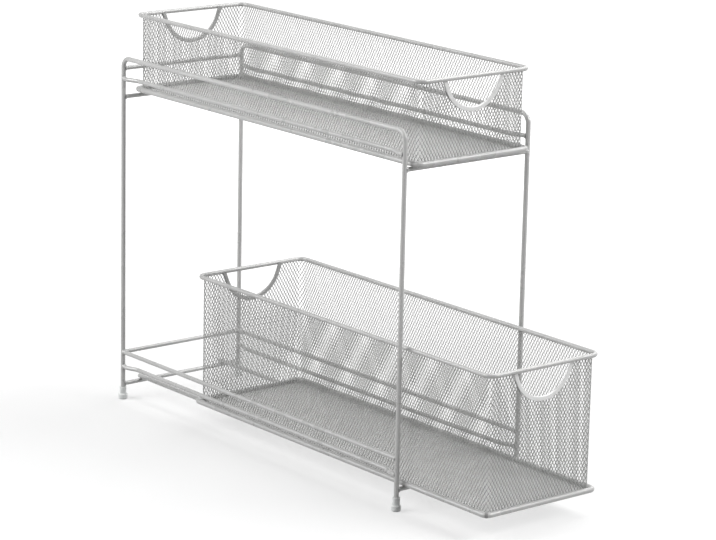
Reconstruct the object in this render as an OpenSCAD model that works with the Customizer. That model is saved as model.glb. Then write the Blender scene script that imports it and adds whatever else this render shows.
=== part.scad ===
// Two-tier pull-out organizer for a cabinet: a bent-wire frame with two sliding mesh baskets.
// Millimetres. X runs to the right seen from the front, Y to the back, Z up, and the floor is at zero.
// The baskets are drawn partly pulled out towards the front.

/* [Frame] */
// Width of the frame, between the centres of the two side loops
frame_width = 158; // [130:1:240]
// Depth of the frame, between the centres of the front and back uprights
frame_depth = 470; // [360:1:560]
// Height of the top rails' centres above the floor
frame_height = 380; // [340:1:460]
// Diameter of the wire that the side loops are bent from
loop_wire_d = 5; // [4.5:0.1:7]
// Centre-line radius of the bends at the top of a side loop
loop_bend_r = 10; // [6:1:30]
// Diameter of the runners, rails and cross wires
rail_wire_d = 4.5; // [3.5:0.1:5]

/* [Feet] */
// Height of a foot
foot_height = 14; // [11:0.5:24]
// Diameter of the bulb that stands on the floor
foot_bulb_d = 10; // [9.5:0.5:16]
// Height of the bulb
foot_bulb_h = 6.5; // [5:0.5:9]
// Radius of the bulb's rounded edges
foot_edge_r = 1.5; // [0.5:0.1:2]
// Thickness of the bulb's floor, under the end of the upright
foot_floor = 3; // [1.5:0.5:5]
// Wall of the sleeve round the upright
foot_wall = 1.2; // [0.8:0.1:2]

/* [Tiers] */
// Gap between the top of a foot and the lowest cross wire
foot_gap = 1; // [0.5:0.5:20]
// Drop from the centres of the top rails to those of the upper runners
upper_drop = 37.6; // [33:0.2:60]
// Distance of a runner inwards from the side loop
runner_inset = 24; // [16:1:40]
// Length of a runner behind the back cross wire
runner_overhang = 3; // [1:0.5:10]
// Gap between a base rim and the guide rail above it
guide_gap = 4.7; // [2:0.1:9]
// Distance of a guide rail inwards from the side loop
guide_inset = 4.5; // [3:0.5:7.5]
// Centre-line radius of the bends at the ends of a guide rail
guide_bend_r = 12; // [6:1:20]
// Angle of those bends
guide_bend_angle = 20; // [15:1:30]
// Straight end of a guide rail beyond its bends, from the centre of the upright
guide_end = 6; // [4:0.5:20]
// Rise of the lower fence rail above the lower guide rail
fence_rise = 16.6; // [8:0.2:60]
// Drop from the centres of the top rails to that of the upper back wire
back_wire_drop = 11.1; // [10:0.1:20]

/* [Baskets] */
// Gap between a basket's top rim and the uprights beside it
basket_side_gap = 4.25; // [2:0.25:10]
// Distance of a closed basket's rim inwards from the centres of the end uprights
basket_end_inset = 1.5; // [0:0.5:10]
// Diameter of the top rim's wire
rim_wire_d = 4.5; // [3.5:0.1:6]
// Diameter of the base rim's wire
base_wire_d = 5.5; // [4:0.1:6.5]
// Centre-line radius of the top rim's corners
rim_corner_r = 9; // [5.5:0.5:20]
// Centre-line radius of the base rim's corners, which are no rounder than the mesh's
base_corner_r = 6; // [3.5:0.5:20]
// Height of the upper basket, between the centres of its two rims
upper_basket_h = 80; // [60:1:140]
// Height of the lower basket, between the centres of its two rims
lower_basket_h = 137.2; // [60:0.2:220]
// How far the upper basket is pulled out
upper_pulled = 10.5; // [0:0.5:340]
// How far the lower basket is pulled out
lower_pulled = 124; // [0:0.5:340]

/* [Mesh] */
// Thickness of the expanded-metal sheet
mesh_t = 1.2; // [0.8:0.1:2]
// Length of an opening's cell along the basket
cell_l = 19; // [12:0.5:40]
// Height of an opening's cell, the long way of its diamond
cell_h = 32; // [18:0.5:50]
// Width of the strands between the openings
strand_w = 3; // [2:0.1:5]
// Width of the plain border round each sheet
mesh_border = 3; // [2:0.5:8]

/* [Hand holes] */
// Radius of the half-moon, to the outside of its trim
hand_r = 38; // [20:0.5:42]
// Height of the half-moon's centre above the centre of the top rim
hand_rise = 2.6; // [0:0.1:6]
// Angle below the horizontal at which the arc ends and the straight flares begin
hand_flare = 22; // [15:1:40]
// Width of the trim strip
trim_w = 4.6; // [3:0.1:8]
// Thickness of each leaf of the trim, and of its fold
trim_leaf = 0.8; // [0.5:0.1:1.5]

/* [Hidden] */
// Clearance that keeps welded or seated faces of one body from cutting into each other
seat = 0.05;
// Running clearance between a basket and its runners
runner_play = 0.3;
// Overrun of a cut past the face that it opens
overrun = 1;
// How much fuller a wire is where it is bent to a slant, and how far the straight wire runs into that bend
bend_full = 0.02;
bend_lap = 0.2;
// Facets of round surfaces, and of the hand holes
$fn = 48;
hand_facets = 96;
// Signs of the sides and ends
left = -1;
right = 1;
front = -1;
back = 1;

half_w = frame_width / 2;
half_d = frame_depth / 2;

// Drop from a runner's centre to the back wire that it lies on
back_drop = rail_wire_d + seat;

// Heights of the runners' centres, worked up from the feet and down from the top rails
lower_z = foot_height + foot_gap + rail_wire_d / 2 + back_drop;
upper_z = frame_height - upper_drop;
fence_z = lower_z + rail_wire_d + runner_play + base_wire_d + guide_gap + fence_rise;

// Heights above the runners' centres
underside = rail_wire_d / 2 + runner_play;
base_rim_z = underside + base_wire_d / 2;
guide_z = underside + base_wire_d + guide_gap + rail_wire_d / 2;

// Half sizes of the rims' centre-lines, and of the mesh box that is welded inside them
rim_half_w = half_w - loop_wire_d / 2 - basket_side_gap - rim_wire_d / 2;
rim_half_l = half_d - basket_end_inset;
mesh_half_w = rim_half_w - rim_wire_d / 2 - seat;
mesh_half_l = rim_half_l - rim_wire_d / 2 - seat;
mesh_corner_r = rim_corner_r - rim_wire_d / 2 - seat;
base_out = seat + base_wire_d / 2;

// Profile of the trim: two leaves over the mesh, joined by a fold
trim_t = mesh_t + 2 * seat + 2 * trim_leaf;
hand_inner_r = hand_r - trim_w;
mesh_cut_r = hand_inner_r + trim_leaf + seat;

// The whole part stands with the middle of its length at zero
lower_front = -mesh_half_l - base_out - base_wire_d / 2 - lower_pulled;
upper_front = -mesh_half_l - base_out - base_wire_d / 2 - upper_pulled;
frame_back = half_d + max(foot_bulb_d / 2, runner_overhang);
middle_y = (frame_back + min(lower_front, upper_front, -half_d - foot_bulb_d / 2)) / 2;

// A straight wire along Y, from one place to another
module wire_y(d, from, to) {
    translate([0, from, 0]) rotate([-90, 0, 0]) cylinder(d = d, h = to - from);
}

// A straight wire along X, centred
module wire_x(d, length) {
    rotate([0, 90, 0]) cylinder(d = d, h = length, center = true);
}

// A bent wire in the XY plane, turning about the origin from an angle through a sweep
module bend(d, r, from, sweep) {
    rotate([0, 0, from]) rotate_extrude(angle = sweep) translate([r, 0]) circle(d = d);
}

// The space that the four uprights take, with their clearance, for coping what is welded to them
module uprights() {
    for (side = [left, right], end = [front, back])
        translate([side * half_w, end * half_d, 0])
            cylinder(d = loop_wire_d + 2 * seat, h = frame_height);
}

// A side loop: two uprights, two bends and a top rail, in one wire
module side_loop(side) {
    color("silver") translate([side * half_w, -middle_y, 0]) {
        for (end = [front, back])
            translate([0, end * half_d, foot_floor])
                cylinder(d = loop_wire_d, h = frame_height - loop_bend_r - foot_floor);
        rotate([90, 0, 90]) {
            translate([half_d - loop_bend_r, frame_height - loop_bend_r])
                bend(loop_wire_d, loop_bend_r, 0, 90);
            translate([loop_bend_r - half_d, frame_height - loop_bend_r])
                bend(loop_wire_d, loop_bend_r, 90, 90);
        }
        translate([0, 0, frame_height])
            wire_y(loop_wire_d, loop_bend_r - half_d, half_d - loop_bend_r);
    }
}

// A foot: a bulb with rounded edges and a sleeve round the upright
module foot(side, end) {
    bulb_r = foot_bulb_d / 2;
    bore_r = loop_wire_d / 2 + seat;
    color("whitesmoke") translate([side * half_w, end * half_d - middle_y, 0])
        rotate_extrude() difference() {
            union() {
                square([bulb_r - foot_edge_r, foot_bulb_h]);
                translate([0, foot_edge_r]) square([bulb_r, foot_bulb_h - 2 * foot_edge_r]);
                for (height = [foot_edge_r, foot_bulb_h - foot_edge_r])
                    translate([bulb_r - foot_edge_r, height]) circle(r = foot_edge_r);
                square([bore_r + foot_wall, foot_height]);
            }
            translate([0, foot_floor]) square([bore_r, foot_height]);
        }
}

// A runner: its front end is coped against the front wire, and its back end lies on the back wire
module runner(side, tier_z) {
    color("silver") translate([0, -middle_y, tier_z]) difference() {
        translate([side * (half_w - runner_inset), 0, 0])
            wire_y(rail_wire_d, -half_d, half_d + runner_overhang);
        translate([0, -half_d, 0]) wire_x(rail_wire_d + 2 * seat, frame_width);
    }
}

// A guide rail: straight along the base rim, and at each end bent out to the upright and straight again
module guide(side, tier_z) {
    bend_d = rail_wire_d + 2 * bend_full;
    bend_in = guide_bend_r * (1 - cos(guide_bend_angle));
    bend_l = guide_bend_r * sin(guide_bend_angle);
    slant_l = (guide_inset - 2 * bend_in) / sin(guide_bend_angle);
    slanted = 2 * bend_l + slant_l * cos(guide_bend_angle);
    straight = half_d - guide_end - slanted;
    color("silver") translate([0, -middle_y, 0]) difference() {
        translate([side * (half_w - guide_inset), 0, tier_z + guide_z])
            mirror([side == left ? 1 : 0, 0, 0]) {
                wire_y(rail_wire_d, -straight - bend_lap, straight + bend_lap);
                for (end = [front, back]) mirror([0, end == front ? 1 : 0, 0])
                    translate([0, straight, 0]) {
                        translate([guide_bend_r, 0, 0])
                            bend(bend_d, guide_bend_r, 180 - guide_bend_angle, guide_bend_angle);
                        translate([bend_in, bend_l, 0]) rotate(-guide_bend_angle)
                            wire_y(rail_wire_d, -bend_lap, slant_l + bend_lap);
                        translate([guide_inset - guide_bend_r, slanted, 0])
                            bend(bend_d, guide_bend_r, -guide_bend_angle, guide_bend_angle);
                        translate([guide_inset, slanted - bend_lap, 0])
                            wire_y(rail_wire_d, 0, bend_lap + guide_end);
                    }
            }
        uprights();
    }
}

// A fence rail, straight between the uprights of one side
module fence(side) {
    color("silver") translate([0, -middle_y, 0]) difference() {
        translate([side * half_w, 0, fence_z]) wire_y(rail_wire_d, -half_d, half_d);
        uprights();
    }
}

// A cross wire between the two uprights of one end
module cross_wire(end, height) {
    color("silver") translate([0, -middle_y, 0]) difference() {
        translate([0, end * half_d, height]) wire_x(rail_wire_d, frame_width);
        uprights();
    }
}

// Puts a basket's piece in the frame: zero is the middle of the basket, at the runners' centres
module in_upper() {
    translate([0, -middle_y - upper_pulled, upper_z]) children();
}

module in_lower() {
    translate([0, -middle_y - lower_pulled, lower_z]) children();
}

// A closed wire rim, as a rounded rectangle of this half width and half length
module rim(d, across, along, corner_r) {
    color("silver") for (side = [left, right]) {
        translate([side * across, 0, 0]) wire_y(d, corner_r - along, along - corner_r);
        translate([0, side * along, 0]) wire_x(d, 2 * (across - corner_r));
        for (end = [front, back])
            mirror([side == left ? 1 : 0, 0, 0]) mirror([0, end == front ? 1 : 0, 0])
                translate([across - corner_r, along - corner_r, 0]) bend(d, corner_r, 0, 90);
    }
}

module top_rim(basket_h) {
    translate([0, 0, base_rim_z + basket_h])
        rim(rim_wire_d, rim_half_w, rim_half_l, rim_corner_r);
}

module base_rim() {
    corner_r = min(base_corner_r, mesh_corner_r + base_out);
    translate([0, 0, base_rim_z])
        rim(base_wire_d, mesh_half_w + base_out, mesh_half_l + base_out, corner_r);
}

// The openings of expanded metal in a sheet of this size: staggered rows of upright diamonds,
// as many as fit, cut off at the border. Those nearer to the point spare than spare_r are left solid.
module openings(length, height, spare = [0, 0], spare_r = 0) {
    inner_l = length - 2 * mesh_border;
    inner_h = height - 2 * mesh_border;
    columns = max(1, round(inner_l / cell_l));
    rows = max(1, round(inner_h / cell_h));
    pitch_l = inner_l / columns;
    pitch_h = inner_h / rows;
    kept = 1 - strand_w * norm([pitch_l, pitch_h]) / (pitch_l * pitch_h);
    intersection() {
        translate([mesh_border, mesh_border]) square([inner_l, inner_h]);
        for (row = [0 : 2 * rows], column = [0 : columns]) {
            at = [
                mesh_border + (column + (row % 2) / 2) * pitch_l,
                mesh_border + row * pitch_h / 2,
            ];
            if (at.x < length && norm(at - spare) > spare_r)
                translate(at) polygon([
                    [-kept * pitch_l / 2, 0], [0, -kept * pitch_h / 2],
                    [kept * pitch_l / 2, 0], [0, kept * pitch_h / 2],
                ]);
        }
    }
}

// A side sheet: flat between the corners, and folded round them to meet the end sheets
module side_mesh(side, basket_h) {
    height = base_rim_z + basket_h - underside;
    flat = 2 * (mesh_half_l - mesh_corner_r);
    color("gainsboro") mirror([side == left ? 1 : 0, 0, 0]) translate([0, 0, underside]) {
        translate([mesh_half_w - mesh_t, -flat / 2, 0]) rotate([90, 0, 90])
            linear_extrude(mesh_t) difference() {
                square([flat, height]);
                openings(flat, height);
            }
        for (end = [front, back]) mirror([0, end == front ? 1 : 0, 0])
            translate([mesh_half_w - mesh_corner_r, flat / 2, 0]) rotate_extrude(angle = 90)
                translate([mesh_corner_r - mesh_t, 0]) square([mesh_t, height]);
    }
}

// The outline of a hand hole of this radius, with zero at the middle of the rim, up to a height
module hand_outline(r, top) {
    arc_end = [r * cos(hand_flare), hand_rise - r * sin(hand_flare)];
    top_x = arc_end.x + (top - arc_end.y) * tan(hand_flare);
    translate([0, hand_rise]) circle(r = r, $fn = hand_facets);
    polygon([[-arc_end.x, arc_end.y], arc_end, [top_x, top], [-top_x, top]]);
}

// An end sheet, flat between the folded corners, with its hand hole
module end_mesh(end, basket_h) {
    height = base_rim_z + basket_h - underside;
    flat = 2 * (mesh_half_w - mesh_corner_r - seat);
    color("gainsboro") mirror([0, end == back ? 1 : 0, 0])
        translate([-flat / 2, mesh_t - mesh_half_l, underside]) rotate([90, 0, 0])
            linear_extrude(mesh_t) difference() {
                square([flat, height]);
                translate([flat / 2, height]) hand_outline(mesh_cut_r, overrun);
                openings(flat, height, [flat / 2, height], hand_r + cell_h / 2);
            }
}

// The floor sheet, inside the four walls
module floor_mesh() {
    across = mesh_half_w - mesh_t - seat;
    along = mesh_half_l - mesh_t - seat;
    corner_r = mesh_corner_r - mesh_t - seat;
    color("gainsboro") translate([0, 0, underside]) linear_extrude(mesh_t) difference() {
        union() {
            square([2 * (across - corner_r), 2 * along], center = true);
            square([2 * across, 2 * (along - corner_r)], center = true);
            for (x = [corner_r - across, across - corner_r], y = [corner_r - along, along - corner_r])
                translate([x, y]) circle(r = corner_r);
        }
        translate([-across, along]) rotate(-90) openings(2 * along, 2 * across);
    }
}

// The trim's profile, across the strip and through the sheet, open towards the mesh
module trim_profile() {
    difference() {
        translate([hand_inner_r, -trim_t / 2]) square([trim_w, trim_t]);
        translate([hand_inner_r + trim_leaf, -mesh_t / 2 - seat])
            square([trim_w, mesh_t + 2 * seat]);
    }
}

// The trim of a hand hole: an arc with two straight flares that are coped under the rim
module trim(end, basket_h) {
    flare_l = hand_inner_r * sin(hand_flare) + trim_w;
    color("lightgray") mirror([0, end == back ? 1 : 0, 0]) difference() {
        translate([0, mesh_t / 2 - mesh_half_l, base_rim_z + basket_h])
            rotate([90, 0, 0]) difference() {
                translate([0, hand_rise]) {
                    rotate(180 + hand_flare) rotate_extrude(angle = 180 - 2 * hand_flare)
                        trim_profile();
                    for (side = [left, right]) mirror([side == left ? 1 : 0, 0])
                        rotate(-hand_flare) rotate([-90, 0, 0])
                            linear_extrude(flare_l) trim_profile();
                }
                translate([-hand_r - trim_w, 0, -trim_t])
                    cube([2 * (hand_r + trim_w), 2 * trim_w + flare_l, 2 * trim_t]);
            }
        translate([0, -rim_half_l, base_rim_z + basket_h])
            wire_x(rim_wire_d + 2 * seat, 2 * rim_half_w);
    }
}

side_loop(left);  // side_loop_left
side_loop(right);  // side_loop_right
foot(left, front);  // foot_front_left
foot(right, front);  // foot_front_right
foot(left, back);  // foot_back_left
foot(right, back);  // foot_back_right
runner(left, upper_z);  // upper_runner_left
runner(right, upper_z);  // upper_runner_right
runner(left, lower_z);  // lower_runner_left
runner(right, lower_z);  // lower_runner_right
guide(left, upper_z);  // upper_guide_left
guide(right, upper_z);  // upper_guide_right
guide(left, lower_z);  // lower_guide_left
guide(right, lower_z);  // lower_guide_right
fence(left);  // lower_fence_left
fence(right);  // lower_fence_right
cross_wire(back, frame_height - back_wire_drop);  // upper_back_top_wire
cross_wire(back, upper_z - back_drop);  // upper_back_bottom_wire
cross_wire(front, upper_z);  // upper_front_wire
cross_wire(back, fence_z);  // lower_back_top_wire
cross_wire(back, lower_z - back_drop);  // lower_back_bottom_wire
cross_wire(front, lower_z);  // lower_front_wire
in_upper() top_rim(upper_basket_h);  // upper_top_rim
in_upper() base_rim();  // upper_base_rim
in_upper() floor_mesh();  // upper_floor_mesh
in_upper() side_mesh(left, upper_basket_h);  // upper_left_mesh
in_upper() side_mesh(right, upper_basket_h);  // upper_right_mesh
in_upper() end_mesh(front, upper_basket_h);  // upper_front_mesh
in_upper() end_mesh(back, upper_basket_h);  // upper_back_mesh
in_upper() trim(front, upper_basket_h);  // upper_front_trim
in_upper() trim(back, upper_basket_h);  // upper_back_trim
in_lower() top_rim(lower_basket_h);  // lower_top_rim
in_lower() base_rim();  // lower_base_rim
in_lower() floor_mesh();  // lower_floor_mesh
in_lower() side_mesh(left, lower_basket_h);  // lower_left_mesh
in_lower() side_mesh(right, lower_basket_h);  // lower_right_mesh
in_lower() end_mesh(front, lower_basket_h);  // lower_front_mesh
in_lower() end_mesh(back, lower_basket_h);  // lower_back_mesh
in_lower() trim(front, lower_basket_h);  // lower_front_trim
in_lower() trim(back, lower_basket_h);  // lower_back_trim
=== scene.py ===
# A pull-out cabinet organizer: a bent-wire frame on plastic feet, and two sliding baskets of
# expanded steel. Metres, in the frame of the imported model: -Y is the front, Z is up.
import math

import bpy
import numpy as np
from mathutils import Matrix, Vector


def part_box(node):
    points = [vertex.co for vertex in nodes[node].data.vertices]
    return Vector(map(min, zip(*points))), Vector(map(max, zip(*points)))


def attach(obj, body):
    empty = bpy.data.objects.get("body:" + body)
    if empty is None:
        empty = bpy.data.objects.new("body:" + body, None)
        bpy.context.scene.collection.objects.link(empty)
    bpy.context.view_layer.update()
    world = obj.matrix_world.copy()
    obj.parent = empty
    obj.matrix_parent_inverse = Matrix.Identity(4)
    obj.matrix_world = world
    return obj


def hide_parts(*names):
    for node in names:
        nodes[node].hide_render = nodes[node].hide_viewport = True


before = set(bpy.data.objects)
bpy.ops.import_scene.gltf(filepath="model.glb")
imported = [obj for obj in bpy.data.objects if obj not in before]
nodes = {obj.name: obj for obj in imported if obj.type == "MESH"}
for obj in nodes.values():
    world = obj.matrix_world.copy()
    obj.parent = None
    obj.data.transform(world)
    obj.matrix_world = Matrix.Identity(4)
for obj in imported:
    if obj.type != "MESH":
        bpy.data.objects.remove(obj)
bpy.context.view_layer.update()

# Camera
# A long lens looks from the left of the front, from a little above the upper basket. The camera
# leans slightly, as the uprights in the picture do.
picture_width_px = 716
focal_px = 2959.8
sensor_width_mm = 36
camera_aim = Vector((0.067805, 0.071248, 0.171842))
camera_distance = 3.14
camera_azimuth = math.radians(-39.354)
camera_height_angle = math.radians(14.111)
camera_lean = math.radians(-1.253)

camera = bpy.data.objects.new("camera", bpy.data.cameras.new("camera"))
bpy.context.scene.collection.objects.link(camera)
bpy.context.scene.camera = camera
bpy.context.scene.view_settings.view_transform = "Standard"
camera.data.sensor_width = sensor_width_mm
camera.data.lens = focal_px / picture_width_px * sensor_width_mm
towards_camera = Vector((
    math.sin(camera_azimuth) * math.cos(camera_height_angle),
    -math.cos(camera_azimuth) * math.cos(camera_height_angle),
    math.sin(camera_height_angle),
))
level = Vector((math.cos(camera_azimuth), math.sin(camera_azimuth), 0))
upright = towards_camera.cross(level)
across = level * math.cos(camera_lean) - upright * math.sin(camera_lean)
upward = level * math.sin(camera_lean) + upright * math.cos(camera_lean)
turn = Matrix((across, upward, towards_camera)).transposed().to_4x4()
camera.matrix_world = Matrix.Translation(camera_aim + towards_camera * camera_distance) @ turn

# Floor and background
# A white paper floor that runs out of the picture. It is lit by the lamps, so it keeps the soft
# shadow under the baskets, and its own glow lifts the rest of it to the white of the background.
floor_reach = 9.0
floor_white = 0.42
floor_glow_near = 0.545
floor_glow_far = 0.95
glow_starts = 0.40
glow_ends = 1.2


def link(tree, source, output, target, socket):
    tree.links.new(source.outputs[output], target.inputs[socket])


def seen_directly(tree):
    """1 where the camera, a reflection or a clear part looks at the surface, and 0 otherwise."""
    path = tree.nodes.new("ShaderNodeLightPath")
    camera_or_gloss = tree.nodes.new("ShaderNodeMath")
    camera_or_gloss.operation = "MAXIMUM"
    either = tree.nodes.new("ShaderNodeMath")
    either.operation = "MAXIMUM"
    link(tree, path, "Is Camera Ray", camera_or_gloss, 0)
    link(tree, path, "Is Glossy Ray", camera_or_gloss, 1)
    link(tree, camera_or_gloss, 0, either, 0)
    link(tree, path, "Is Transmission Ray", either, 1)
    return either


paper = bpy.data.materials.new("paper_floor")
paper.use_nodes = True
tree = paper.node_tree
tree.nodes.clear()
matte = tree.nodes.new("ShaderNodeBsdfDiffuse")
matte.inputs["Color"].default_value = (floor_white, floor_white, floor_white, 1)
glow = tree.nodes.new("ShaderNodeEmission")
floor_place = tree.nodes.new("ShaderNodeTexCoord")
from_object = tree.nodes.new("ShaderNodeVectorMath")
from_object.operation = "LENGTH"
glow_by_distance = tree.nodes.new("ShaderNodeMapRange")
glow_by_distance.inputs["From Min"].default_value = glow_starts
glow_by_distance.inputs["From Max"].default_value = glow_ends
glow_by_distance.inputs["To Min"].default_value = floor_glow_near
glow_by_distance.inputs["To Max"].default_value = floor_glow_far
glow_strength = tree.nodes.new("ShaderNodeMath")
glow_strength.operation = "MULTIPLY"
link(tree, floor_place, "Object", from_object, 0)
link(tree, from_object, "Value", glow_by_distance, "Value")
link(tree, glow_by_distance, "Result", glow_strength, 1)
link(tree, seen_directly(tree), 0, glow_strength, 0)
link(tree, glow_strength, 0, glow, "Strength")
lit_paper = tree.nodes.new("ShaderNodeAddShader")
link(tree, matte, "BSDF", lit_paper, 0)
link(tree, glow, "Emission", lit_paper, 1)
link(tree, lit_paper, "Shader", tree.nodes.new("ShaderNodeOutputMaterial"), "Surface")

bpy.ops.mesh.primitive_plane_add(size=2 * floor_reach, location=(0, 0, 0))
paper_floor = bpy.context.object
paper_floor.name = "paper_floor"
paper_floor.data.materials.append(paper)

# Room light
# The room is white to look at, and gives a plain grey fill to everything in it.
room_fill = 0.085

world = bpy.data.worlds.new("white_room")
bpy.context.scene.world = world
world.use_nodes = True
tree = world.node_tree
tree.nodes.clear()
room = tree.nodes.new("ShaderNodeBackground")
room.inputs["Color"].default_value = (1, 1, 1, 1)
room_strength = tree.nodes.new("ShaderNodeMapRange")
room_strength.inputs["To Min"].default_value = room_fill
room_strength.inputs["To Max"].default_value = 1.0
link(tree, seen_directly(tree), 0, room_strength, "Value")
link(tree, room_strength, "Result", room, "Strength")
link(tree, room, "Background", tree.nodes.new("ShaderNodeOutputWorld"), "Surface")

# Lamps
# Soft boxes. The main one, high on the right, lays the shadow to the left. Two low ones behind the
# object turn each upright from light to dark and back, and the last one lights the front.
softboxes = (
    # name, azimuth and height in degrees, distance and size in metres, watts
    ("main_softbox", 80, 64, 2.6, 1.6, 37),
    ("left_softbox", -118, 30, 2.8, 2.0, 68),
    ("right_softbox", 108, 28, 3.0, 1.4, 18),
    ("front_softbox", 32, 36, 2.8, 1.2, 47),
)
softbox_aim = Vector((0, 0, 0.2))


def softbox(name, azimuth, height_angle, distance, size, watts):
    """A square lamp that faces the object. Azimuth zero is in front of it, and 90 at its right."""
    lamp = bpy.data.objects.new(name, bpy.data.lights.new(name, "AREA"))
    bpy.context.scene.collection.objects.link(lamp)
    lamp.data.size = size
    lamp.data.energy = watts
    azimuth, height_angle = math.radians(azimuth), math.radians(height_angle)
    outward = Vector((
        math.sin(azimuth) * math.cos(height_angle),
        -math.cos(azimuth) * math.cos(height_angle),
        math.sin(height_angle),
    ))
    lamp.location = softbox_aim + outward * distance
    lamp.rotation_mode = "QUATERNION"
    lamp.rotation_quaternion = outward.to_track_quat("Z", "Y")


for row in softboxes:
    softbox(*row)

# Side loops
# Each side of the frame is one steel wire, bent into a tall loop of two uprights and a top rail.
# It has a satin silver-grey coating, baked on after welding, with the faint grain of fine powder.
loop_colours = ((0.48, 0.48, 0.475, 1), (0.56, 0.56, 0.555, 1))
coat_metallic = 0.12
coat_roughness = (0.24, 0.35)
coat_patch_size = 0.03
coat_patch_detail = 4
coat_grain_size = 0.0007
coat_grain_detail = 3
coat_grain_share = 0.4
coat_darkest_at = 0.3
coat_palest_at = 0.7
coat_grain_bump = 0.25
coat_grain_depth = 0.00004


def spread_tones(tone, darkest_at, palest_at, colours):
    """Sets a ramp from the first colour to the second, between two values of what drives it."""
    darkest, palest = tone.color_ramp.elements
    darkest.position, palest.position = darkest_at, palest_at
    darkest.color, palest.color = colours


def coated_steel(name, colours, roughness=coat_roughness, grain_size=coat_grain_size):
    """A satin coating over steel: broad patches of tone, fine grain, and a drifting roughness."""
    material = bpy.data.materials.new(name)
    material.use_nodes = True
    tree = material.node_tree
    shader = tree.nodes["Principled BSDF"]
    shader.inputs["Metallic"].default_value = coat_metallic
    place = tree.nodes.new("ShaderNodeTexCoord")
    patches = tree.nodes.new("ShaderNodeTexNoise")
    patches.inputs["Scale"].default_value = 1 / coat_patch_size
    patches.inputs["Detail"].default_value = coat_patch_detail
    grain = tree.nodes.new("ShaderNodeTexNoise")
    grain.inputs["Scale"].default_value = 1 / grain_size
    grain.inputs["Detail"].default_value = coat_grain_detail
    both = tree.nodes.new("ShaderNodeMix")
    both.inputs["Factor"].default_value = coat_grain_share
    tone = tree.nodes.new("ShaderNodeValToRGB")
    spread_tones(tone, coat_darkest_at, coat_palest_at, colours)
    satin = tree.nodes.new("ShaderNodeMapRange")
    satin.inputs["From Min"].default_value = coat_darkest_at
    satin.inputs["From Max"].default_value = coat_palest_at
    satin.inputs["To Min"].default_value, satin.inputs["To Max"].default_value = roughness
    bump = tree.nodes.new("ShaderNodeBump")
    bump.inputs["Strength"].default_value = coat_grain_bump
    bump.inputs["Distance"].default_value = coat_grain_depth
    link(tree, place, "Object", patches, "Vector")
    link(tree, place, "Object", grain, "Vector")
    link(tree, patches, "Fac", both, 2)
    link(tree, grain, "Fac", both, 3)
    link(tree, both, 0, tone, "Fac")
    link(tree, tone, "Color", shader, "Base Color")
    link(tree, patches, "Fac", satin, "Value")
    link(tree, satin, "Result", shader, "Roughness")
    link(tree, grain, "Fac", bump, "Height")
    link(tree, bump, "Normal", shader, "Normal")
    return material


def finish_with(piece, material):
    """Gives a piece one material."""
    piece.data.materials.clear()
    piece.data.materials.append(material)


loop_coating = coated_steel("loop_coating", loop_colours)
for side in ("left", "right"):
    finish_with(nodes["side_loop_" + side], loop_coating)

# Feet
# Soft plastic caps are pushed over the ends of the uprights. They are milky and a little
# translucent, so that the wire greys the sleeve and the rounded bulb stays pale.
milky_colours = ((0.84, 0.87, 0.86, 1), (0.91, 0.93, 0.92, 1))
milky_roughness = 0.38
milky_refraction = 1.48
milky_translucence = 0.35
milky_light_depth = 0.004
milky_clouds_per_metre = 220
milky_cloud_detail = 2
milky_darkest_at = 0.35
milky_palest_at = 0.65

milky = bpy.data.materials.new("milky_plastic")
milky.use_nodes = True
tree = milky.node_tree
shader = tree.nodes["Principled BSDF"]
shader.inputs["Roughness"].default_value = milky_roughness
shader.inputs["IOR"].default_value = milky_refraction
shader.inputs["Subsurface Weight"].default_value = milky_translucence
shader.inputs["Subsurface Radius"].default_value = (milky_light_depth,) * 3
shader.inputs["Subsurface Scale"].default_value = 1.0
place = tree.nodes.new("ShaderNodeTexCoord")
clouds = tree.nodes.new("ShaderNodeTexNoise")
clouds.inputs["Scale"].default_value = milky_clouds_per_metre
clouds.inputs["Detail"].default_value = milky_cloud_detail
tone = tree.nodes.new("ShaderNodeValToRGB")
spread_tones(tone, milky_darkest_at, milky_palest_at, milky_colours)
link(tree, place, "Object", clouds, "Vector")
link(tree, clouds, "Fac", tone, "Fac")
link(tree, tone, "Color", shader, "Base Color")
for end in ("front", "back"):
    for side in ("left", "right"):
        finish_with(nodes["foot_" + end + "_" + side], milky)

# Runners, rails and cross wires
# Straight and bent wires a little thinner than the side loops. The cross wires tie the two loops,
# the runners carry the baskets, and the guide and fence rails keep them from swinging sideways.
rail_colours = ((0.46, 0.46, 0.455, 1), (0.54, 0.54, 0.535, 1))
runners = ("upper_runner", "lower_runner")
guides = ("upper_guide", "lower_guide")
cross_wires = (
    "upper_back_top_wire", "upper_back_bottom_wire", "upper_front_wire",
    "lower_back_top_wire", "lower_back_bottom_wire", "lower_front_wire",
)

rail_coating = coated_steel("rail_coating", rail_colours)
for rail in (*runners, *guides, "lower_fence"):
    for side in ("left", "right"):
        finish_with(nodes[rail + "_" + side], rail_coating)
for wire in cross_wires:
    finish_with(nodes[wire], rail_coating)

# Rims of the baskets
# Each basket hangs on two closed wires with rounded corners: the top rim, and a thicker base rim
# that slides on the runners. Both have the same coating as the frame.
rim_colours = ((0.44, 0.44, 0.435, 1), (0.52, 0.52, 0.515, 1))
tiers = ("upper", "lower")

rim_coating = coated_steel("rim_coating", rim_colours)
for tier in tiers:
    for rim in ("_top_rim", "_base_rim"):
        finish_with(nodes[tier + rim], rim_coating)
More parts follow.
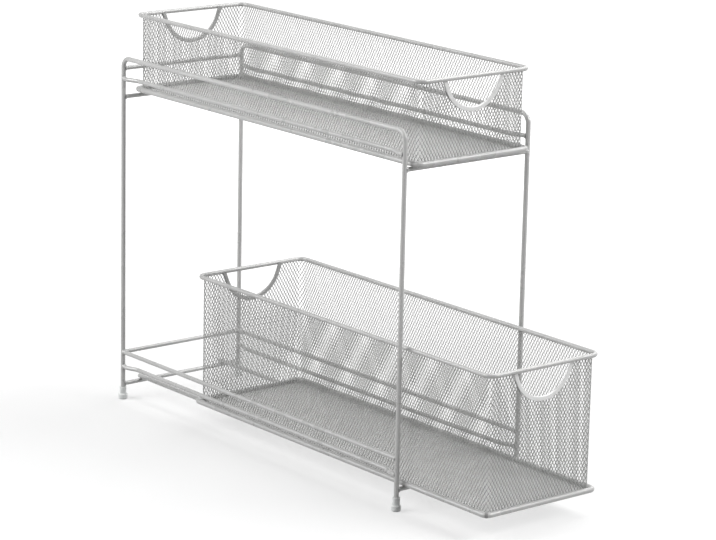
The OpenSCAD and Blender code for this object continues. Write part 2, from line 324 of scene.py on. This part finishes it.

# Expanded steel mesh
# A thin steel sheet is slit and stretched until the slits open into upright diamonds, between
# strands that lean out of the sheet. One strip wraps the four walls, and another is the floor.
# Painted shade: the walls' coating is darker than the frame's, standing in for the shade on the
# strands.
wall_painted_shade_colours = ((0.31, 0.31, 0.305, 1), (0.41, 0.41, 0.405, 1))
# Painted light: the floor is the walls' coating made paler, standing in for light on the floors.
floor_painted_light_colours = ((0.46, 0.46, 0.455, 1), (0.56, 0.56, 0.555, 1))
mesh_roughness = (0.36, 0.42)
mesh_grain_size = 0.0005
hole_pitch = 0.0038
hole_rise = 0.00645
hole_half_w = 0.00145
broad_strand = 0.00065
slim_strand = 0.00017
sheet_thickness = 0.0004
strand_lean = -0.00005
floor_strand_lean = -0.00045
floor_hole_length_share = 0.85
floor_hole_width_share = 0.93
spare_rows = 5
spare_columns = 3
hem_height = 0.0013
hem_thickness = 0.0008
hem_step = 0.0012

# How far the strands stand from upright, and how far apart the middles of like strands are
strand_angle = math.atan2(hole_pitch, hole_rise)
strand_spacing = hole_pitch * math.cos(strand_angle)


def askew_hole(falling_strand, rising_strand):
    """The six corners of a hole (along, up, out), from its lower tip and against the clock.

    The strands that fall to the right and those that rise have widths of their own.
    """
    to_falling = (strand_spacing - falling_strand) / 2
    to_rising = (strand_spacing - rising_strand) / 2
    tip_x = (to_falling - to_rising) / 2 / math.cos(strand_angle)
    tip_up = (to_falling + to_rising) / 2 / math.sin(strand_angle)
    falling_up = (to_falling - hole_half_w * math.cos(strand_angle)) / math.sin(strand_angle)
    rising_up = (to_rising - hole_half_w * math.cos(strand_angle)) / math.sin(strand_angle)
    return np.array([
        [-tip_x, -tip_up, 0],
        [hole_half_w, -rising_up, strand_lean],
        [hole_half_w, falling_up, strand_lean],
        [tip_x, tip_up, 0],
        [-hole_half_w, rising_up, -strand_lean],
        [-hole_half_w, -falling_up, -strand_lean],
    ])


# The slits pull open a little askew. Seen from outside, the strands that fall to the right are the
# broader ones on the front and right walls, and those that rise on the back and left walls.
falling_hole = askew_hole(broad_strand, slim_strand)
rising_hole = askew_hole(slim_strand, broad_strand)

# The floor's holes are smaller, and its strands lean further, like louvres
floor_hole = falling_hole * [
    floor_hole_length_share, floor_hole_width_share, floor_strand_lean / strand_lean,
]


def stretched_sheet(hole_corners, pitch, columns, rows, low, closed):
    """The corners (along, up, out) and the faces of a sheet with staggered diamond holes.

    The holes' corners are the same for all holes, or given for each column. Holes stand in rows
    half a rise apart, the first at the height low, and every other row half a pitch along.
    """
    corner_count = 6
    row, column = np.mgrid[0:rows, 0:columns]
    centre = np.stack([
        (column + (row % 2) / 2) * pitch, low + row * hole_rise / 2, np.zeros(row.shape),
    ], axis=-1)
    skins = []
    for out in (sheet_thickness / 2, -sheet_thickness / 2):
        skins.append(centre[:, :, None, :] + hole_corners + [0, 0, out])
    corners = np.stack(skins, axis=2).reshape(-1, 3)

    def number(at_row, at_column, skin, corner):
        hole = at_row * columns + at_column % columns
        return (hole * len(skins) + skin) * corner_count + corner

    below_row, below = np.mgrid[0:rows - 2, 0:columns]
    right = below + below_row % 2
    left = right - 1
    inside = np.ones(below.shape, bool) if closed else (right < columns) & (left >= 0)
    below_row, below, right, left = (a[inside] for a in (below_row, below, right, left))
    faces = []
    for skin in (0, 1):
        foot = number(below_row, below, skin, 3)
        head = number(below_row + 2, below, skin, 0)
        head_right = number(below_row + 2, below, skin, 1)
        head_left = number(below_row + 2, below, skin, 5)
        right_low = number(below_row + 1, right, skin, 5)
        right_high = number(below_row + 1, right, skin, 4)
        right_top = number(below_row + 1, right, skin, 3)
        left_low = number(below_row + 1, left, skin, 1)
        left_high = number(below_row + 1, left, skin, 2)
        left_top = number(below_row + 1, left, skin, 3)
        for quad in (
            (foot, right_low, right_high, head),
            (head, left_high, left_low, foot),
            (right_high, right_top, head_right, head),
            (head, head_left, left_top, left_high),
        ):
            quad = np.stack(quad, axis=-1)
            faces.append(quad if skin == 0 else quad[:, ::-1])
    used = np.zeros(len(corners), bool)
    used[np.concatenate(faces).ravel()] = True
    for corner in range(corner_count):
        following = (corner + 1) % corner_count
        edge = [number(row, column, skin, c).ravel() for skin, c in (
            (0, corner), (0, following), (1, following), (1, corner),
        )]
        faces.append(np.stack(edge, axis=-1)[used[edge[0]] & used[edge[1]]])
    return corners, np.concatenate(faces)


def hem(low, high, length):
    """A plain band round the closed strip between two heights: the corners and faces of a bar."""
    count = round(length / hem_step)
    along = np.linspace(0, length, count, endpoint=False)
    ring = ((low, 1), (high, 1), (high, -1), (low, -1))
    corners = np.stack([
        np.stack([along, np.full(count, up), np.full(count, side * hem_thickness / 2)], axis=-1)
        for up, side in ring
    ], axis=1).reshape(-1, 3)
    start = np.arange(count)
    after = (start + 1) % count
    faces = []
    points = len(ring)
    for edge in range(points):
        following = (edge + 1) % points
        faces.append(np.stack([
            start * points + edge, after * points + edge,
            after * points + following, start * points + following,
        ], axis=-1))
    return corners, np.concatenate(faces)


def cut_straight(corners, faces, axis, low, high):
    """Shears the sheet straight along two lines, and drops what lies beyond them."""
    at = corners[:, axis]
    beyond = (at < low) | (at > high)
    kept = ~beyond[faces].all(axis=1)
    corners[:, axis] = np.clip(at, low, high)
    return corners, faces[kept]


def joined(*parts):
    """Several sets of corners and faces as one."""
    corners, faces, count = [], [], 0
    for some_corners, some_faces in parts:
        corners.append(some_corners)
        faces.append(some_faces + count)
        count += len(some_corners)
    return np.concatenate(corners), np.concatenate(faces)


def mesh_piece(name, corners, faces):
    """A new object from four-sided faces, without the corners that no face uses."""
    used, faces = np.unique(faces, return_inverse=True)
    faces = faces.reshape(-1, 4)
    mesh = bpy.data.meshes.new(name)
    mesh.vertices.add(len(used))
    mesh.vertices.foreach_set("co", corners[used].astype(np.float32).ravel())
    mesh.loops.add(faces.size)
    mesh.loops.foreach_set("vertex_index", faces.astype(np.int32).ravel())
    mesh.polygons.add(len(faces))
    mesh.polygons.foreach_set("loop_start", np.arange(0, faces.size, 4, dtype=np.int32))
    mesh.update(calc_edges=True)
    mesh.validate()
    piece = bpy.data.objects.new(name, mesh)
    bpy.context.scene.collection.objects.link(piece)
    return piece


class Walls:
    """The line that the wall strip follows: a rectangle with rounded corners, seen from above."""

    def __init__(self, tier):
        left_low, left_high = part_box(tier + "_left_mesh")
        right_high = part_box(tier + "_right_mesh")[1]
        floor_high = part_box(tier + "_floor_mesh")[1]
        cad_thickness = floor_high.z - left_low.z
        outer_corner = left_high.x - left_low.x
        self.half_w = (right_high.x - left_low.x - cad_thickness) / 2
        self.half_l = (left_high.y - left_low.y - cad_thickness) / 2
        self.middle_y = (left_high.y + left_low.y) / 2
        self.bottom, self.top = left_low.z, left_high.z
        self.corner_r = outer_corner - cad_thickness / 2
        self.straight_w = 2 * (self.half_w - self.corner_r)
        self.straight_l = 2 * (self.half_l - self.corner_r)
        self.quarter = math.pi / 2 * self.corner_r
        self.length = 2 * (self.straight_w + self.straight_l) + 4 * self.quarter

    def place(self, corners):
        """Bends the strip (along, up, out) round the walls, from the left end of the front."""
        along = corners[:, 0] % self.length
        placed = np.zeros(corners.shape)
        placed[:, 2] = corners[:, 1]
        start, heading = 0.0, 0.0
        at = np.array([-self.straight_w / 2, self.middle_y - self.half_l])
        for straight in (self.straight_w, self.straight_l) * 2:
            ahead = np.array([math.cos(heading), math.sin(heading)])
            outward = np.array([ahead[1], -ahead[0]])
            here = (along >= start) & (along < start + straight)
            gone = (along[here] - start)[:, None]
            placed[here, :2] = at + gone * ahead + corners[here, 2][:, None] * outward
            at = at + straight * ahead
            start += straight
            here = (along >= start) & (along < start + self.quarter)
            angle = heading + (along[here] - start) / self.corner_r
            turned = np.stack([np.sin(angle), -np.cos(angle)], axis=-1)
            centre = at - self.corner_r * outward
            placed[here, :2] = centre + (self.corner_r + corners[here, 2])[:, None] * turned
            heading += math.pi / 2
            at = centre + self.corner_r * np.array([math.sin(heading), -math.cos(heading)])
            start += self.quarter
        return placed


# The half-moon that is cut out of an end sheet for the hand, and the strip that covers its edge.
# Its centre lies above the sheet's edge by the rise, and the flare is how far its sides lean out.
hand_outer_r = 0.038
hand_inner_r = 0.0334
hand_rise = 0.0026
hand_flare = math.radians(22)
no_distance = 1e-9


def beyond_hand_hole(x, up, radius):
    """How far points of an end wall lie outside the half-moon of this radius, and the way out."""
    side = np.where(x < 0, -1.0, 1.0)
    on_flare = np.abs(x) * math.sin(hand_flare) + up * math.cos(hand_flare) > 0
    distance = np.maximum(np.hypot(x, up), no_distance)
    flare_distance = np.abs(x) * math.cos(hand_flare) - up * math.sin(hand_flare)
    way_x = np.where(on_flare, side * math.cos(hand_flare), x / distance)
    way_up = np.where(on_flare, -math.sin(hand_flare), up / distance)
    return np.where(on_flare, flare_distance, distance) - radius, way_x, way_up


def cut_hand_holes(corners, faces, walls):
    """Cuts the half-moon out of both end walls, along the middle of the strip that covers it."""
    at_end = np.abs(corners[:, 0]) < walls.straight_w / 2
    radius = (hand_outer_r + hand_inner_r) / 2
    up = corners[:, 2] - walls.top - hand_rise
    gap, way_x, way_up = beyond_hand_hole(corners[:, 0], up, radius)
    inside = at_end & (gap < 0)
    faces = faces[~inside[faces].all(axis=1)]
    corners[inside, 0] -= (gap * way_x)[inside]
    corners[inside, 2] -= (gap * way_up)[inside]
    return corners, faces


wall_painted_shade_coating = coated_steel("wall_painted_shade_coating", wall_painted_shade_colours, mesh_roughness, mesh_grain_size)
floor_painted_light_coating = coated_steel("floor_painted_light_coating", floor_painted_light_colours, mesh_roughness, mesh_grain_size)
for tier in tiers:
    walls = Walls(tier)
    body = tier + "_basket"
    columns = round(walls.length / hole_pitch)
    rows = math.ceil((walls.top - walls.bottom) / hole_rise * 2) + spare_rows
    pitch = walls.length / columns
    past_left_corner = (np.arange(columns) * pitch + walls.quarter / 2) % walls.length
    on_front_or_right = past_left_corner < walls.length / 2
    holes = np.where(on_front_or_right[:, None, None], falling_hole, rising_hole)
    strip = stretched_sheet(holes, pitch, columns, rows, walls.bottom - hole_rise, True)
    strip = cut_straight(*strip, 1, walls.bottom + hem_height / 2, walls.top - hem_height / 2)
    bottom_hem = hem(walls.bottom, walls.bottom + hem_height, walls.length)
    top_hem = hem(walls.top - hem_height, walls.top, walls.length)
    corners, faces = joined(strip, bottom_hem, top_hem)
    corners, faces = cut_hand_holes(walls.place(corners), faces, walls)
    middle = corners[faces].mean(axis=1)
    on_side = np.abs(middle[:, 0]) > walls.straight_w / 2
    panels = (
        ("left", on_side & (middle[:, 0] < 0)),
        ("right", on_side & (middle[:, 0] > 0)),
        ("front", ~on_side & (middle[:, 1] < walls.middle_y)),
        ("back", ~on_side & (middle[:, 1] > walls.middle_y)),
    )
    for panel, chosen in panels:
        piece = mesh_piece(tier + "_" + panel + "_expanded_mesh", corners, faces[chosen])
        finish_with(piece, wall_painted_shade_coating)
        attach(piece, body)
        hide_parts(tier + "_" + panel + "_mesh")

    floor_half_l = walls.half_l - sheet_thickness
    floor_half_w = walls.half_w - sheet_thickness
    columns = math.ceil(2 * floor_half_l / hole_pitch) + spare_columns
    rows = math.ceil(2 * floor_half_w / hole_rise * 2) + spare_rows
    low = -floor_half_w - hole_rise
    corners, faces = stretched_sheet(floor_hole, hole_pitch, columns, rows, low, False)
    corners[:, 0] -= floor_half_l + spare_columns / 2 * hole_pitch
    corners, faces = cut_straight(corners, faces, 1, -floor_half_w, floor_half_w)
    corners, faces = cut_straight(corners, faces, 0, -floor_half_l, floor_half_l)
    along, over, up = corners.T
    height = walls.bottom - up.min()
    corners = np.stack([-over, along + walls.middle_y, up + height], axis=-1)
    piece = mesh_piece(tier + "_floor_expanded_mesh", corners, faces)
    finish_with(piece, floor_painted_light_coating)
    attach(piece, body)
    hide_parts(tier + "_floor_mesh")

# Trims of the hand holes
# A strip of the same steel is folded over the edge of each half-moon, its rounded fold towards the
# hand and its ends in the top rim. The front ones are pale, and the back ones are painted a darker
# grey, as painted shade on their inner side.
front_trim_colours = ((0.73, 0.73, 0.725, 1), (0.81, 0.81, 0.805, 1))
# Painted shade: the back trims' copy of the coating is darker, for the shade their inner side is
# seen in.
back_trim_painted_shade_colours = ((0.36, 0.36, 0.355, 1), (0.45, 0.45, 0.445, 1))
trim_thickness = 0.0023
trim_lip = 0.0003
trim_gap = 0.0005
trim_gap_depth = 0.0012
fold_steps = 8
arc_steps = 64
flare_steps = 8
trim_sharp_degrees = 35


def trim_profile():
    """The folded strip across its width: the radius in the half-moon, and out of the sheet."""
    half = trim_thickness / 2
    turn = np.linspace(math.pi / 2, 3 * math.pi / 2, fold_steps + 1)
    fold = np.stack([hand_inner_r + half + half * np.cos(turn), half * np.sin(turn)], axis=-1)
    leaf = np.array([
        [hand_outer_r - trim_lip, half],
        [hand_outer_r, half - trim_lip],
        [hand_outer_r, trim_gap / 2],
        [hand_outer_r - trim_gap_depth, trim_gap / 2],
    ])
    return np.concatenate([leaf[::-1], fold, leaf * [1, -1]])


def swept(rings):
    """The corners and four-sided faces of a skin through closed rings of equally many points."""
    count, points = rings.shape[:2]
    ring, point = np.mgrid[0:count - 1, 0:points]
    following = (point + 1) % points
    faces = np.stack([
        ring * points + point, ring * points + following,
        (ring + 1) * points + following, (ring + 1) * points + point,
    ], axis=-1)
    return rings.reshape(-1, 3), faces.reshape(-1, 4)


def trim_strip():
    """The strip down one flare, round the arc and up the other, with the sheet's edge at zero."""
    profile = trim_profile()
    radius, out = profile.T
    climb = (radius * math.sin(hand_flare) - hand_rise) / math.cos(hand_flare)
    rings = []
    for part in np.linspace(1, 0, flare_steps, endpoint=False):
        x = radius * math.cos(hand_flare) + part * climb * math.sin(hand_flare)
        up = hand_rise - radius * math.sin(hand_flare) + part * climb * math.cos(hand_flare)
        rings.append(np.stack([-x, out, up], axis=-1))
    for angle in np.linspace(math.pi + hand_flare, 2 * math.pi - hand_flare, arc_steps + 1):
        x, up = radius * math.cos(angle), hand_rise + radius * math.sin(angle)
        rings.append(np.stack([x, out, up], axis=-1))
    for ring in reversed(rings[:flare_steps]):
        rings.append(ring * [-1, 1, 1])
    return swept(np.array(rings))


def smooth(piece, sharp_degrees):
    """Shades a piece as smooth, apart from the edges that are sharper than this angle."""
    piece.data.polygons.foreach_set("use_smooth", [True] * len(piece.data.polygons))
    piece.data.set_sharp_from_angle(angle=math.radians(sharp_degrees))


front_trim_coating = coated_steel("front_trim_coating", front_trim_colours)
back_trim_painted_shade_coating = coated_steel("back_trim_painted_shade_coating", back_trim_painted_shade_colours)
for tier in tiers:
    walls = Walls(tier)
    trims = (
        ("front", -walls.half_l, front_trim_coating),
        ("back", walls.half_l, back_trim_painted_shade_coating),
    )
    for end, at_end, trim_coating in trims:
        corners, faces = trim_strip()
        corners = corners + [0, walls.middle_y + at_end, walls.top]
        piece = mesh_piece(tier + "_" + end + "_hand_trim", corners, faces)
        smooth(piece, trim_sharp_degrees)
        finish_with(piece, trim_coating)
        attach(piece, tier + "_basket")
        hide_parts(tier + "_" + end + "_trim")

# Welds
# The wires are butted and fused before coating, which leaves a small fillet round each joint. One
# butt weld closes each base rim at its front left corner, and the lower one is painted dark, as
# painted shade at the rim's tight corner.
bead_turns = 28
bead_wobble = 0.00012
bead_thickness = 0.001
bead_sharp_degrees = 60
joint_bead = (
    (0.0010, 0.0009), (0.0022, 0.00095), (0.0029, 0.0006), (0.0037, 0.00022), (0.0046, -0.00006),
)
seam_bead = (
    (-0.0016, -0.00005), (-0.0009, 0.00018), (0, 0.00032), (0.0009, 0.0002), (0.0016, -0.00005),
)
rail_r = 0.00225
base_rim_r = 0.00275
base_corner_r = 0.006
# Painted shade: the lower seam's coating is dark for the shade at the rim's tight corner.
seam_painted_shade_colours = ((0.20, 0.20, 0.195, 1), (0.30, 0.30, 0.295, 1))
weld_rng = np.random.default_rng(5)


def bead(at, heading, shape, wire_r):
    """A bead round a wire, from a place along a heading, by steps (along, thickness)."""
    turn = np.linspace(0, 2 * math.pi, bead_turns, endpoint=False)
    across = Vector(heading).cross(Vector((0, 0, 1)))
    rings = []
    for along, thickness in shape:
        uneven = 1 + weld_rng.uniform(-1, 1) * bead_wobble / bead_thickness
        waves = np.sin(turn * weld_rng.integers(2, 5) + weld_rng.uniform(0, 6))
        lumps = bead_wobble * waves * (thickness > 0)
        radius = wire_r + thickness * uneven + lumps
        around = np.cos(turn)[:, None] * np.array(across) + np.sin(turn)[:, None] * [0, 0, 1]
        rings.append(np.array(at) + along * np.array(heading) + radius[:, None] * around)
    return swept(np.array(rings))


def weld_piece(name, beads, coating, body):
    """One piece from the beads of like joints."""
    piece = mesh_piece(name, *joined(*beads))
    smooth(piece, bead_sharp_degrees)
    finish_with(piece, coating)
    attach(piece, body)


for end, inward in (("front", 1), ("back", -1)):
    wires = [wire for wire in cross_wires if "_" + end + "_" in wire]
    for side, outward in (("left", -1), ("right", 1)):
        loop_low, loop_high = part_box("side_loop_" + side)
        loop_r = (loop_high.x - loop_low.x) / 2
        upright_x = (loop_high.x + loop_low.x) / 2
        upright_y = loop_low.y + loop_r if end == "front" else loop_high.y - loop_r
        beads = []
        for wire in wires:
            low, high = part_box(wire)
            place = (upright_x, (low.y + high.y) / 2, (low.z + high.z) / 2)
            beads.append(bead(place, (-outward, 0, 0), joint_bead, rail_r))
        for rail in (*guides, "lower_fence"):
            low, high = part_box(rail + "_" + side)
            place = (upright_x, upright_y, (low.z + high.z) / 2)
            beads.append(bead(place, (0, inward, 0), joint_bead, rail_r))
        weld_piece("welds_" + end + "_" + side, beads, rail_coating, "frame")

seam_coatings_and_shade = {"upper": rim_coating, "lower": coated_steel("seam_painted_shade_coating", seam_painted_shade_colours)}
for tier in tiers:
    low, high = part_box(tier + "_base_rim")
    corner = Vector((low.x + base_rim_r, low.y + base_rim_r, (low.z + high.z) / 2))
    towards_middle = Vector((1, 1, 0)) * base_corner_r * (1 - math.sqrt(0.5))
    seam = bead(corner + towards_middle, Vector((1, -1, 0)).normalized(), seam_bead, base_rim_r)
    weld_piece(tier + "_base_rim_seam", [seam], seam_coatings_and_shade[tier], tier + "_basket")
